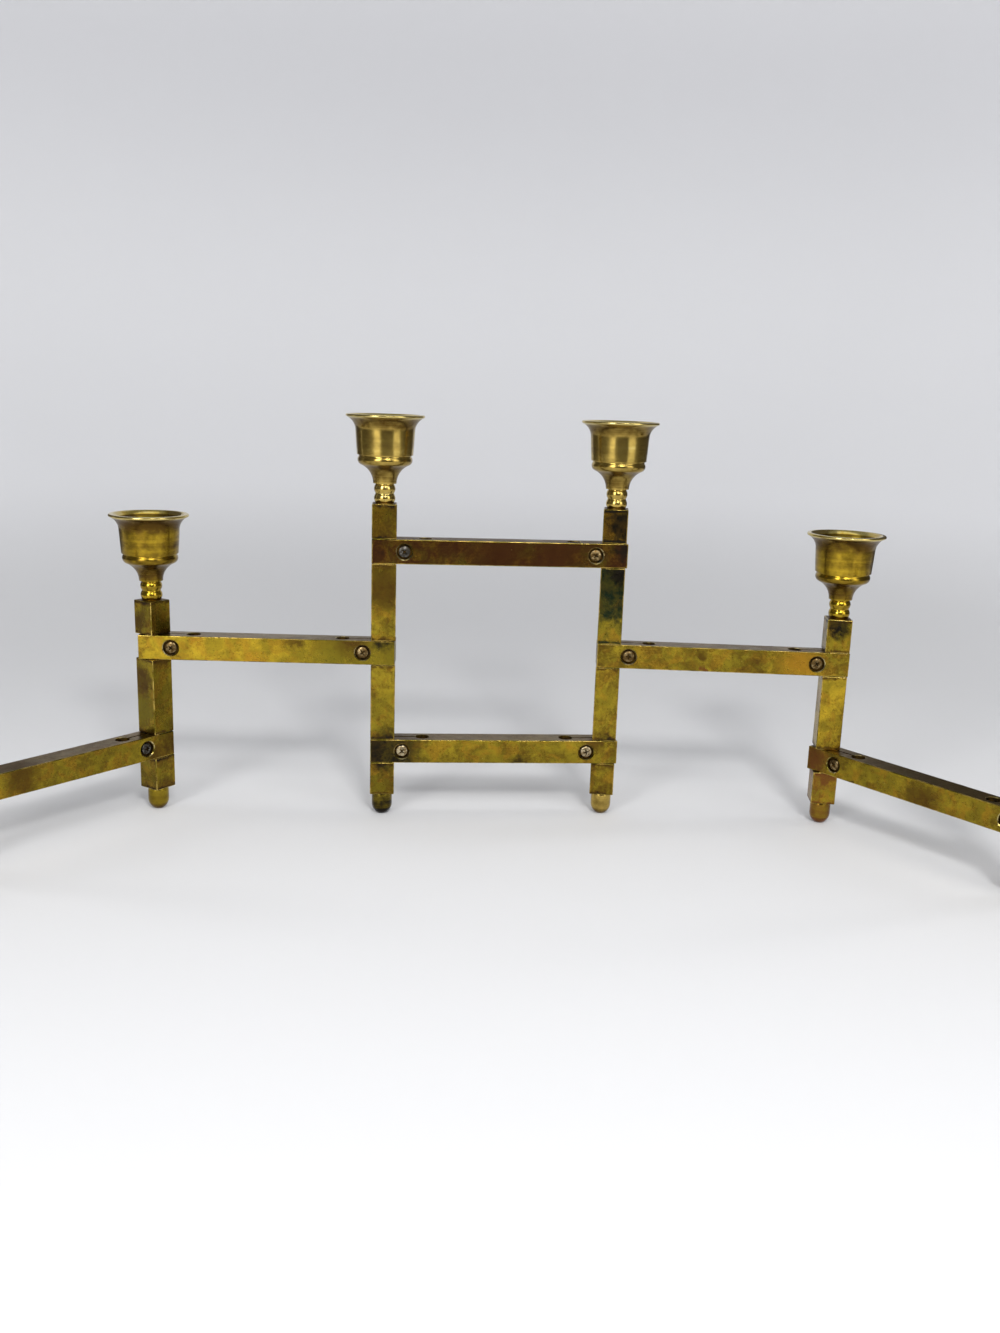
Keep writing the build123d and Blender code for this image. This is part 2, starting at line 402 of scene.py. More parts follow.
def aged_brass(name, centre, heading, roof, light, dark, amount, stains, seams, grain_up=False):
    """Bar brass. `roof` is the height of the top face, which is made darker and rougher. `amount` is how
    far the tarnish has gone. Each stain is (point, inner, outer, colour)."""
    finish = Finish(name)
    local = finish.local(centre, heading)
    cloud = finish.noise(60, 2, 0.5, 0.6)
    mottle = finish.noise(210, 4, 0.68, 0.5)
    speck = finish.noise(1000, 3, 0.65)
    along = (700, 1500, 34) if grain_up else (34, 1500, 1100)
    grain = finish.noise(1.0, 2, 0.5, place=finish.stretched(along, local))
    tarnish = amount + (cloud - 0.5) * 1.1 + (mottle - 0.5) * 1.3 + (speck - 0.5) * 0.8
    tarnish = tarnish + (grain - 0.5) * 0.30 + seam_grime(finish, local, seams)
    hue = finish.noise(90, 3, 0.6, 0.5)
    clean = finish.mix(hue.ramp(0.32, 0.62) * 0.7, light, OLIVE_BRASS)
    warmth = finish.noise(130, 3, 0.6, 0.8)
    clean = finish.mix(warmth.ramp(0.47, 0.62) * 0.55, clean, AMBER_BRASS)
    colour = finish.mix(tarnish.ramp(0.15, 1.15), clean, dark)
    worst = tarnish.ramp(1.05, 1.6)
    for point, inner, outer, stain_colour in stains:
        mask = stain_mask(finish, point, inner, outer, 0.012)
        mask = mask * mottle.ramp(0.36, 0.66, 1.0, 0.72)
        colour = finish.mix(mask, colour, stain_colour)
        worst = worst.either(mask)
    colour = finish.mix(tarnish.ramp(1.05, 1.6), colour, BLACK_TARNISH)
    pit = finish.noise(1500, 2, 0.5).ramp(0.64, 0.72)
    up = finish.node("ShaderNodeSeparateXYZ", None, {"Vector": local}, "Z")
    # The top face is made darker and rougher.
    darker_top_face = up.ramp(roof - 0.0004, roof - 0.0001, 0.0, 0.72)
    colour = finish.mix(darker_top_face, colour, BROWN_TARNISH)
    colour = finish.mix(pit * 0.6, colour, BLACK_TARNISH)
    rough = 0.20 + tarnish.ramp(0.0, 1.2) * 0.16 + (grain - 0.5) * 0.08 + worst * 0.06 + darker_top_face * 0.12
    wavy = finish.bumped(finish.noise(75, 2, 0.5), 0.00030)
    drawn = finish.bumped(grain, 0.000012, under=wavy)
    pitted = finish.bumped(1 - pit, 0.00004, under=drawn)
    finish.set(metallic=1.0, base_color=colour, roughness=rough, normal=pitted)
    return finish.material


# %% [markdown]
# Where the bar has been handled, its edges are bright and almost clean, and their pale colour is also a
# painted highlight for the bright lines that light draws along them. The holes are the opposite: no
# cloth ever reaches them, so they are nearly black.

# %% Rubbed edges with a painted highlight, and dark holes
def rubbed_and_highlight_edge(name, tint):
    finish = Finish(name)
    patch = finish.noise(120, 3, 0.6)
    grime = finish.noise(420, 3, 0.6).ramp(0.50, 0.66) * 0.75
    worn = finish.mix(patch.ramp(0.38, 0.62), tint, OLIVE_BRASS)
    colour = finish.mix(grime, worn, BROWN_TARNISH)
    rough = 0.20 + grime * 0.25
    finish.set(metallic=1.0, base_color=colour, roughness=rough)
    finish.set(normal=finish.bumped(finish.noise(900, 2, 0.5), 0.00004))
    return finish.material


def dark_bore(name):
    finish = Finish(name)
    patch = finish.noise(500, 3, 0.6)
    colour = finish.mix(patch.ramp(0.30, 0.65), BLACK_TARNISH, BROWN_TARNISH)
    finish.set(metallic=1.0, base_color=colour, roughness=0.45 + patch * 0.2)
    finish.set(normal=finish.bumped(patch, 0.00005))
    return finish.material


# Painted highlight in part: the pale edge and counterbore rim colours stand both for rubbed wear and for
# the bright lines that light draws on edges.
edge_finish = rubbed_and_highlight_edge("rubbed_edge_brass", PALE_BRASS)
ring_finish = rubbed_and_highlight_edge("counterbore_rim_brass", rgb(0.66, 0.54, 0.26))
bore_finish = dark_bore("dark_bore_brass")
print("palette and bar finishes ready")

# %% [markdown]
# ## Arms
#
# An arm is a length of square bar. Near each end it has a bore for the rod, a slit that runs on to
# a small relief hole, and a screw in a counterbore that pinches the slit shut on the rod. In
# Blender the bar is a cube stretched to size with bevelled edges, and each drilled feature is a
# cutter taken away with a Boolean modifier. Since all six arms are alike, one master is made at
# the origin and copied.

# %% Small modelling helpers
def deselect():
    bpy.ops.object.select_all(action="DESELECT")


def choose(piece):
    """Make one piece the only selected object and the active one."""
    deselect()
    piece.select_set(True)
    bpy.context.view_layer.objects.active = piece


def begin_edit(piece):
    choose(piece)
    bpy.ops.object.mode_set(mode="EDIT")
    bpy.ops.mesh.select_mode(type="FACE")


def end_edit():
    bpy.ops.object.mode_set(mode="OBJECT")


def pick_faces(piece, wanted):
    """Select the faces whose centre and normal pass a test. Call it in edit mode."""
    bpy.ops.mesh.select_all(action="DESELECT")
    bpy.ops.object.mode_set(mode="OBJECT")
    for face in piece.data.polygons:
        face.select = wanted(face.center, face.normal)
    bpy.ops.object.mode_set(mode="EDIT")


def give_slots(piece, materials):
    piece.data.materials.clear()
    for material in materials:
        piece.data.materials.append(material)


def settle(piece):
    """Put the object's place into its mesh, so the object itself sits at the origin."""
    choose(piece)
    bpy.ops.object.transform_apply(location=True, rotation=True, scale=True)


def copy_piece(master, name, place=(0, 0, 0), turn=(0, 0, 0)):
    """A copy with its own mesh, moved and turned, then settled."""
    choose(master)
    bpy.ops.object.duplicate(linked=False)
    piece = bpy.context.object
    piece.name = name
    piece.data.name = name
    piece.rotation_euler = turn
    piece.location = place
    settle(piece)
    return piece


def join_pieces(pieces, name):
    deselect()
    for piece in pieces:
        piece.select_set(True)
    bpy.context.view_layer.objects.active = pieces[0]
    bpy.ops.object.join()
    pieces[0].name = name
    pieces[0].data.name = name
    return pieces[0]


def apply_modifier(piece, kind, **settings):
    modifier = piece.modifiers.new(kind.lower(), kind)
    for key, value in settings.items():
        setattr(modifier, key, value)
    choose(piece)
    bpy.ops.object.modifier_apply(modifier=modifier.name)


def carve(piece, cutter):
    """Take the cutter away from the piece. The cut takes the cutter's own material."""
    settings = {"object": cutter, "operation": "DIFFERENCE", "solver": "EXACT"}
    apply_modifier(piece, "BOOLEAN", material_mode="TRANSFER", **settings)
    bpy.data.objects.remove(cutter)


def crisp_shading(piece, angle=40):
    """Smooth across bevels, flat on the faces: the largest face at a corner sets its normal."""
    choose(piece)
    bpy.ops.object.shade_smooth_by_angle(angle=math.radians(angle))
    apply_modifier(piece, "WEIGHTED_NORMAL", weight=100, keep_sharp=True)


def remove_masters(*masters):
    for master in masters:
        bpy.data.objects.remove(master)


# %% [markdown]
# Most of what is left is round: cups, feet, screws, and the drills that cut the holes. They are
# all made on the same lathe. The outline is drawn by extruding one vertex from point to point,
# and `spin` sweeps it about Z. Listed corners get a tiny vertex bevel first, because no turned
# edge is perfectly sharp and the small radius is what catches the light.

# %% The lathe
def turned(name, outline, steps, soften=0.0):
    """Spin an outline of (radius, height) points, in millimetres, about the Z axis."""
    deselect()
    bpy.ops.mesh.primitive_plane_add(size=0.001, location=(0, 0, 0))
    piece = bpy.context.object
    piece.name = name
    piece.data.name = name
    bpy.ops.object.mode_set(mode="EDIT")
    bpy.ops.mesh.select_mode(type="VERT")
    bpy.ops.mesh.select_all(action="SELECT")
    bpy.ops.mesh.merge(type="CENTER")
    bpy.ops.transform.translate(value=(outline[0][0] * MM, 0, outline[0][1] * MM))
    for here, there in zip(outline, outline[1:]):
        step = ((there[0] - here[0]) * MM, 0, (there[1] - here[1]) * MM)
        bpy.ops.mesh.extrude_region_move(TRANSFORM_OT_translate={"value": step})
    if soften:
        soften_corners(piece, soften)
    bpy.ops.mesh.select_all(action="SELECT")
    bpy.ops.mesh.spin(steps=steps, angle=2 * math.pi, center=(0, 0, 0), axis=(0, 0, 1))
    bpy.ops.mesh.select_all(action="SELECT")
    bpy.ops.mesh.remove_doubles(threshold=0.000002)
    bpy.ops.mesh.normals_make_consistent(inside=False)
    bpy.ops.object.mode_set(mode="OBJECT")
    return piece


def soften_corners(piece, width):
    """Bevel every outline vertex that turns by more than 25 degrees."""
    bpy.ops.mesh.select_all(action="DESELECT")
    bpy.ops.object.mode_set(mode="OBJECT")
    points = [vertex.co.copy() for vertex in piece.data.vertices]
    for index in range(1, len(points) - 1):
        before = points[index] - points[index - 1]
        after = points[index + 1] - points[index]
        shortest = min(before.length, after.length)
        sharp = before.angle(after) > math.radians(25)
        piece.data.vertices[index].select = sharp and shortest > 2.2 * width * MM
    bpy.ops.object.mode_set(mode="EDIT")
    bpy.ops.mesh.bevel(offset=width * MM, segments=2, affect="VERTICES")


def arc_from_vertical(start, end, steps):
    """Points after `start` on the arc that leaves it straight up or down and reaches `end`."""
    across = end[0] - start[0]
    up = end[1] - start[1]
    radius = (across * across + up * up) / (2 * across)
    centre = start[0] + radius
    sweep = math.atan2(up, (centre - end[0]) * (1 if radius > 0 else -1))
    points = []
    for step in range(1, steps + 1):
        angle = sweep * step / steps
        points.append((centre - radius * math.cos(angle), start[1] + abs(radius) * math.sin(angle)))
    return points


def arc_through(start, middle, end, steps):
    """Points after `start` on the arc through three points."""
    (ax, az), (bx, bz), (cx, cz) = start, middle, end
    twice = 2 * (ax * (bz - cz) + bx * (cz - az) + cx * (az - bz))
    a2, b2, c2 = ax * ax + az * az, bx * bx + bz * bz, cx * cx + cz * cz
    x = (a2 * (bz - cz) + b2 * (cz - az) + c2 * (az - bz)) / twice
    z = (a2 * (cx - bx) + b2 * (ax - cx) + c2 * (bx - ax)) / twice
    radius = math.hypot(ax - x, az - z)
    first = math.atan2(az - z, ax - x)
    turn_middle = (math.atan2(bz - z, bx - x) - first) % (2 * math.pi)
    turn_end = (math.atan2(cz - z, cx - x) - first) % (2 * math.pi)
    if turn_middle > turn_end:
        turn_end -= 2 * math.pi
    angles = [first + turn_end * step / steps for step in range(1, steps + 1)]
    return [(x + radius * math.cos(angle), z + radius * math.sin(angle)) for angle in angles]


# %% The bar of the master arm
BAR = bar / MM
EDGE_BREAK = 0.4
PIVOT_X = pivot_pitch / MM / 2
PIVOT_TO_SCREW = 9.8
SCREW_TO_RELIEF = 10.2
SCREW_X = PIVOT_X - PIVOT_TO_SCREW
RELIEF_X = SCREW_X - SCREW_TO_RELIEF
RELIEF_RADIUS = 3.4
PIVOT_CLEARANCE = 0.05
SLIT_WIDTH = 1.2
HEAD_SEAT = 2.3
COUNTERBORE_RADIUS = 3.8
CLEAR_RADIUS = 1.7
TAP_RADIUS = 1.5
TAP_END_WALL = 1.0
MOUTH_BREAK = 0.4
HOLE_BREAK = 0.2


def bevelled_bar(name, length, width, tall, body_material):
    """A square bar standing on z = 0, centred on the Z axis, with rounded bevels of their own slot."""
    deselect()
    bpy.ops.mesh.primitive_cube_add(size=1, location=(0, 0, 0))
    piece = bpy.context.object
    piece.name = name
    piece.scale = (length * MM, width * MM, tall * MM)
    piece.location = (0, 0, tall * MM / 2)
    settle(piece)
    give_slots(piece, [body_material, edge_finish, bore_finish, ring_finish])
    begin_edit(piece)
    bpy.ops.mesh.select_all(action="SELECT")
    bpy.ops.mesh.bevel(offset=EDGE_BREAK * MM, segments=3, affect="EDGES", material=1)
    end_edit()
    return piece


plain = bpy.data.materials.new("bar_blank")
arm_master = bevelled_bar("arm_master", arm_length / MM, BAR, BAR, plain)
print("arm bar has", len(arm_master.data.polygons), "faces")


# %% Drills for the arm
def drill(name, steps, flare, through=False):
    """A drill going down from z = 0. Steps are (radius, depth); the mouth flares by `flare`."""
    first_radius = steps[0][0]
    outline = [(0, 1), (first_radius + flare + 1, 1), (first_radius, -flare)]
    top = 0
    for radius, depth in steps:
        if top:
            outline.append((radius, -top))
        top = depth
        outline.append((radius, -depth + flare if through else -depth))
    if through:
        outline += [(first_radius + flare + 1, -top - 1), (0, -top - 1)]
    else:
        outline.append((0, -top))
    cutter = turned(name, outline, 56)
    give_slots(cutter, [bore_finish, ring_finish])
    for face in cutter.data.polygons:
        slanted = 0.1 < abs(face.normal.z) < 0.99
        face.material_index = 1 if slanted else 0
    return cutter


def slit_cutter(centre_x, length):
    deselect()
    bpy.ops.mesh.primitive_cube_add(size=1, location=(0, 0, 0))
    cutter = bpy.context.object
    cutter.scale = (length * MM, SLIT_WIDTH * MM, (BAR + 2) * MM)
    cutter.location = (centre_x * MM, 0, BAR / 2 * MM)
    settle(cutter)
    give_slots(cutter, [bore_finish])
    return cutter


ROD = rod_radius / MM
SCREW_STEPS = [(COUNTERBORE_RADIUS, HEAD_SEAT), (CLEAR_RADIUS, BAR / 2)]
SCREW_STEPS.append((TAP_RADIUS, BAR - TAP_END_WALL))
for side in (-1, 1):
    pivot_drill = drill("pivot_drill", [(ROD + PIVOT_CLEARANCE, BAR)], HOLE_BREAK, through=True)
    pivot_drill.location = (side * PIVOT_X * MM, 0, bar)
    relief_drill = drill("relief_drill", [(RELIEF_RADIUS, BAR)], HOLE_BREAK, through=True)
    relief_drill.location = (side * RELIEF_X * MM, 0, bar)
    screw_drill = drill("screw_drill", SCREW_STEPS, MOUTH_BREAK)
    screw_drill.rotation_euler = (math.radians(90), 0, 0)
    screw_drill.location = (side * SCREW_X * MM, -bar / 2, bar / 2)
    for cutter in (pivot_drill, relief_drill, screw_drill):
        settle(cutter)
        carve(arm_master, cutter)
    carve(arm_master, slit_cutter(side * (PIVOT_X + RELIEF_X) / 2, PIVOT_X - RELIEF_X))
print("drilled arm has", len(arm_master.data.polygons), "faces")

# %% [markdown]
# ## Clamp screws
#
# Each screw is a cross-head machine screw with a slightly domed head. Its thread shows only as a
# glint inside the slit, so it is turned as plain rings. The cross narrows as it goes down,
# which is what keeps a screwdriver centred, and each one stopped at its own angle when it was
# tightened.

# %% Screw steel
def screw_steel(name, bare, film, amount):
    """Steel with a brown film. `amount` is how much of the head the film covers."""
    finish = Finish(name)
    patch = finish.noise(700, 3, 0.6)
    covered = (patch + amount - 0.5).ramp(0.38, 0.62)
    scuff = finish.noise(2600, 2, 0.5)
    finish.set(metallic=1.0, base_color=finish.mix(covered, bare, film))
    finish.set(roughness=0.24 + covered * 0.16 + (scuff - 0.5) * 0.12)
    finish.set(normal=finish.bumped(patch * 0.7 + scuff * 0.3, 0.00006))
    return finish.material


bright_steel = screw_steel("bright_screw_steel", rgb(0.52, 0.44, 0.28), rgb(0.18, 0.12, 0.05), 0.50)
brown_steel = screw_steel("brown_screw_steel", rgb(0.34, 0.25, 0.12), rgb(0.10, 0.06, 0.02), 0.56)
dark_steel = screw_steel("dark_screw_steel", rgb(0.22, 0.21, 0.19), rgb(0.045, 0.04, 0.032), 0.60)
recess_grime = dark_bore("recess_grime")

# %% The master screw
HEAD_RADIUS = 2.75
HEAD_HEIGHT = 2.0
SHANK_RADIUS = 1.5
SHANK_LENGTH = 8.3
THREAD_PITCH = 0.5
CROSS_LENGTH = 3.2
CROSS_WIDTH = 0.75
CROSS_DEPTH = 1.1
CROSS_TAPER = 0.55
CUTTER_TALL = 1.6

screw_outline = [(0, -SHANK_LENGTH), (1.2, -SHANK_LENGTH)]
for turn in range(14):
    root = -SHANK_LENGTH + 0.35 + turn * THREAD_PITCH
    screw_outline += [(1.22, root), (SHANK_RADIUS, root + THREAD_PITCH / 2)]
screw_outline += [(1.3, -0.4), (1.3, 0), (HEAD_RADIUS, 0), (HEAD_RADIUS, HEAD_HEIGHT - 0.5)]
crown_middle = (HEAD_RADIUS / 2, HEAD_HEIGHT - 0.125)
screw_outline += arc_through(screw_outline[-1], crown_middle, (0, HEAD_HEIGHT), 8)
screw_master = turned("screw_master", screw_outline, 48, soften=0.15)
give_slots(screw_master, [brown_steel, recess_grime])
print("screw has", len(screw_master.data.polygons), "faces before the cross is cut")


# %% The cross in its head
def cross_arm(turn):
    """A wedge for one bar of the cross, wider at the top than at the bottom."""
    deselect()
    bpy.ops.mesh.primitive_cube_add(size=1, location=(0, 0, 0))
    wedge = bpy.context.object
    wedge.scale = (CROSS_LENGTH * MM, CROSS_WIDTH * MM, CUTTER_TALL * MM)
    wedge.location = (0, 0, (HEAD_HEIGHT - CROSS_DEPTH + CUTTER_TALL / 2) * MM)
    wedge.rotation_euler = (0, 0, turn)
    settle(wedge)
    begin_edit(wedge)
    pick_faces(wedge, lambda centre, normal: normal.z < -0.5)
    bottom = (0, 0, (HEAD_HEIGHT - CROSS_DEPTH) * MM)
    bpy.ops.transform.resize(value=(CROSS_TAPER, CROSS_TAPER, 1), center_override=bottom)
    end_edit()
    give_slots(wedge, [recess_grime])
    return wedge


for turn in (0, math.pi / 2):
    carve(screw_master, cross_arm(turn))
crisp_shading(screw_master)
print("finished screw has", len(screw_master.data.polygons), "faces")

# %% [markdown]
# ## Knocks
#
# A bar that has been moved about for decades is no longer a perfect bar: its edges carry nicks and
# its faces a few shallow dents. Each is a small squashed ball sunk a few tenths of a millimetre
# into the metal and taken away. The random numbers are seeded with the piece's name, so every run
# makes the same ones.

# %% Nicks and dents
def ball(place, radius, stretch, material):
    deselect()
    bpy.ops.mesh.primitive_ico_sphere_add(subdivisions=2, radius=radius * MM)
    piece = bpy.context.object
    piece.scale = stretch
    piece.location = [value * MM for value in place]
    settle(piece)
    give_slots(piece, [material])
    return piece


def knock(piece, length, tall, nicks, dents, upright=False):
    """Nick the long edges of a bar centred on the Z axis, and dent its faces."""
    chance = random.Random(piece.name)
    half = BAR / 2
    balls = []
    taken = []

    def strike(place, radius, stretch, material):
        """Add a ball unless it would touch one that is already there."""
        reach = radius * max(stretch)
        if all(math.dist(place, other) > reach + far for other, far in taken):
            taken.append((place, reach))
            balls.append(ball(place, radius, stretch, material))

    for _ in range(nicks):
        radius = chance.uniform(0.35, 0.8)
        sink = chance.uniform(0.20, 0.34) + (0.10 if chance.random() < 0.2 else 0)
        reach = half + (radius - sink) * 0.7071
        side, end = chance.choice((-1, 1)), chance.choice((-1, 1))
        run = chance.uniform(0.9, 2.4)
        grime = bore_finish if chance.random() < 0.35 else edge_finish
        if upright:
            place = (side * reach, end * reach, chance.uniform(1.5, tall - 1.5))
            strike(place, radius, (1, 1, run), grime)
        else:
            level = reach if end > 0 else -reach
            place = (chance.uniform(-length / 2 + 1.5, length / 2 - 1.5), side * reach, half + level)
            strike(place, radius, (run, 1, 1), grime)
    for _ in range(dents):
        radius = chance.uniform(1.2, 2.2)
        reach = half + radius - chance.uniform(0.03, 0.07)
        side = chance.choice((-1, 1))
        across = chance.uniform(-4.0, 4.0)
        if upright:
            spot = (side * reach, across) if chance.random() < 0.5 else (across, side * reach)
            place = (*spot, chance.uniform(2, tall - 2))
        else:
            place = (chance.uniform(-RELIEF_X + 5, RELIEF_X - 5), side * reach, half + across)
        strike(place, radius, (1, 1, 1), edge_finish)
    carve(piece, join_pieces(balls, "knocks"))


# %% [markdown]
# ## Tones of the six arms
#
# No two arms have aged alike. The top centre arm has gone the brown of an old penny, the low one
# is yellow but scorched black at its left end, and the two middle arms are the most golden. The
# stains are given as points on the arm: how far along from its middle, and how high.

# %% Arm tones
ARM_TONES = {
    # arm: light, dark, amount, [(along mm, up mm, inner mm, outer mm, colour)], screw steels
    "left_arm_outer": (
        YELLOW_BRASS, BROWN_TARNISH, 0.58,
        [(-20, 10, 2, 16, BROWN_TARNISH), (50, 2, 1, 8, BROWN_TARNISH)],
        (brown_steel, dark_steel),
    ),
    "left_arm_inner": (
        GOLD_BRASS, BROWN_TARNISH, 0.36,
        [(46, 4, 8, 52, OLIVE_BRASS), (42, 14, 3, 14, BROWN_TARNISH), (57, 13, 2, 8, BLACK_TARNISH),
         (-34, 13, 1, 7, AMBER_BRASS), (-6, -1, 1, 9, AMBER_BRASS), (14, 12, 1, 8, BROWN_TARNISH)],
        (brown_steel, brown_steel),
    ),
    "centre_arm_low": (
        YELLOW_BRASS, BROWN_TARNISH, 0.52,
        [(-60, 6, 14, 30, BLACK_TARNISH), (12, -1, 2, 6, BLACK_TARNISH), (51, 12, 2, 8, BROWN_TARNISH)],
        (bright_steel, bright_steel),
    ),
    "centre_arm_top": (
        rgb(0.115, 0.060, 0.016), PENNY_TARNISH, 0.84,
        [(0, 4, 3, 22, PENNY_TARNISH), (28, 7, 4, 18, PENNY_TARNISH), (61, 8, 2, 7, BLACK_TARNISH)],
        (dark_steel, brown_steel),
    ),
    "right_arm_inner": (
        YELLOW_BRASS, BROWN_TARNISH, 0.58,
        [(-10, 7, 0.4, 2.4, BROWN_TARNISH), (-9, 1, 0.3, 1.6, RED_TARNISH), (38, 6, 2, 16, AMBER_BRASS)],
        (brown_steel, brown_steel),
    ),
    "right_arm_outer": (
        YELLOW_BRASS, BROWN_TARNISH, 0.50,
        [(-57, 6, 2, 11, RED_TARNISH), (-36, 0, 0.5, 2.5, BLACK_TARNISH), (5, 3, 3, 14, BROWN_TARNISH)],
        (brown_steel, bright_steel),
    ),
}

# %% Make the arms
for arm, (left_column, right_column, body) in ARMS.items():
    light, dark, amount, stains, steels = ARM_TONES[arm]
    start, end = pivot[left_column], pivot[right_column]
    floor_of_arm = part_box(arm)[0].z
    middle = Vector(((start.x + end.x) / 2, (start.y + end.y) / 2, floor_of_arm))
    heading = math.atan2(end.y - start.y, end.x - start.x)
    ahead = Vector((math.cos(heading), math.sin(heading), 0))
    front = Vector((math.sin(heading), -math.cos(heading), 0))
    points = []
    for along, up, inner, outer, colour in stains:
        point = middle + ahead * along * MM + front * bar / 2 + Vector((0, 0, up * MM))
        points.append((tuple(point), inner * MM, outer * MM, colour))
    seams = ("X", 0.0, arm_length / 2, 0.009, 0.28)
    settings = (tuple(middle), heading, bar, light, dark, amount, points, seams)
    material = aged_brass(f"{arm}_brass", *settings)

    bar_piece = copy_piece(arm_master, f"{arm}_bar")
    knock(bar_piece, arm_length / MM, BAR, nicks=16, dents=5)
    crisp_shading(bar_piece)
    bar_piece.data.materials[0] = material
    bar_piece.rotation_euler = (0, 0, heading)
    bar_piece.location = middle
    settle(bar_piece)
    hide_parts(arm)
    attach(bar_piece, body)

    chance = random.Random(arm)
    screws = []
    for side, steel in zip((-1, 1), steels):
        screw = copy_piece(screw_master, f"{arm}_screw", turn=(0, 0, chance.uniform(0, math.pi / 2)))
        screw.data.materials[0] = steel
        screw.rotation_euler = (math.radians(90), 0, heading)
        screw.location = middle + ahead * side * SCREW_X * MM + front * (bar / 2 - HEAD_SEAT * MM)
        screw.location.z += bar / 2
        settle(screw)
        screws.append(screw)
    screw_pair = join_pieces(screws, f"{arm}_clamp_screws")
    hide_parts(f"{arm}_screws")
    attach(screw_pair, body)
    print(arm, "faces:", len(bar_piece.data.polygons), "heading:", round(math.degrees(heading), 1))
remove_masters(arm_master, screw_master)

# %% [markdown]
# ## Blocks
#
# The blocks between the arms are cut from the same bar and stand on end, so the drawn grain runs
# up them. Only two lengths exist. A block turns a little on its rod whenever the arms are moved,
# so its angle is read from the CAD solid's own side faces.

# %% Block masters
def block_master(name, tall):
    piece = bevelled_bar(name, BAR, BAR, tall, plain)
    rod_hole = drill("rod_hole", [(ROD, tall)], 0.25, through=True)
    rod_hole.location = (0, 0, tall * MM)
    settle(rod_hole)
    carve(piece, rod_hole)
    return piece


def node_turn(node):
    """The turn of a square block about Z, from the largest side face of its CAD solid."""
    sides = [face for face in frame["nodes"][node].data.polygons if abs(face.normal.z) < 0.1]
    largest = max(sides, key=lambda face: face.area)
    turn = math.atan2(largest.normal.y, largest.normal.x)
    return (turn + math.pi / 4) % (math.pi / 2) - math.pi / 4


def node_height(node):
    lowest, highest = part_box(node)
    return highest.z - lowest.z


short_height = node_height("left_inner_cap_block") / MM
long_height = node_height("left_inner_spacer_1") / MM
short_block = block_master("short_block_master", short_height)
long_block = block_master("long_block_master", long_height)
print(f"blocks are {short_height:.1f} mm and {long_height:.1f} mm tall")

# %% Block tones
BLOCK_TONES = {
    # block: light, dark, amount, [(turn deg from the front, up mm, inner mm, outer mm, colour)]
    "left_inner_cap_block": (YELLOW_BRASS, BROWN_TARNISH, 0.74, []),
    "left_inner_spacer_2": (
        YELLOW_BRASS, BROWN_TARNISH, 0.50,
        [(10, 26, 4, 16, BROWN_TARNISH), (0, 40, 2, 8, BROWN_TARNISH)],
    ),
    "left_inner_spacer_1": (YELLOW_BRASS, BROWN_TARNISH, 0.54, [(30, -2, 3, 12, BLACK_TARNISH)]),
    "left_inner_base_block": (OLIVE_BRASS, BROWN_TARNISH, 0.66, [(0, 17, 1, 7, BLACK_TARNISH)]),
    "right_inner_cap_block": (AMBER_BRASS, BLACK_TARNISH, 0.62, [(25, 9, 4, 10, BLACK_TARNISH)]),
    "right_inner_spacer_2": (
        YELLOW_BRASS, GREEN_TARNISH, 0.40,
        [(10, 28, 13, 21, GREEN_TARNISH), (25, 36, 3, 9, BLACK_TARNISH)],
    ),
    "right_inner_spacer_1": (YELLOW_BRASS, BROWN_TARNISH, 0.54, [(15, -2, 2, 7, BLACK_TARNISH)]),
    "right_inner_base_block": (YELLOW_BRASS, BROWN_TARNISH, 0.62, [(30, 17, 1, 5, BROWN_TARNISH)]),
    # The stains at -60 and -70 degrees on the left middle cap and spacer are painted shade: they make
    # those left faces darker than the right ones.
    "left_middle_cap_block": (YELLOW_BRASS, BROWN_TARNISH, 0.60, [(-60, 6, 2, 8, BROWN_TARNISH)]),
    "left_middle_spacer_1": (
        YELLOW_BRASS, BROWN_TARNISH, 0.44,
        [(-70, 12, 5, 10, OLIVE_BRASS), (-70, 26, 5, 10, BROWN_TARNISH), (60, 38, 1, 6, BROWN_TARNISH)],
    ),
    "left_middle_base_block": (YELLOW_BRASS, BROWN_TARNISH, 0.60, []),
    "right_middle_cap_block": (YELLOW_BRASS, BROWN_TARNISH, 0.50, [(-20, 12, 2, 8, BLACK_TARNISH)]),
    "right_middle_spacer_1": (GOLD_BRASS, BROWN_TARNISH, 0.46, [(40, -2, 2, 6, BLACK_TARNISH)]),
    "right_middle_base_block": (YELLOW_BRASS, RED_TARNISH, 0.62, [(0, 15, 2, 6, RED_TARNISH)]),
    "left_outer_cap_block": (YELLOW_BRASS, BROWN_TARNISH, 0.60, []),
    "left_outer_base_block": (YELLOW_BRASS, BROWN_TARNISH, 0.66, []),
    "right_outer_cap_block": (YELLOW_BRASS, AMBER_BRASS, 0.55, []),
    "right_outer_base_block": (OLIVE_BRASS, BROWN_TARNISH, 0.62, []),
}

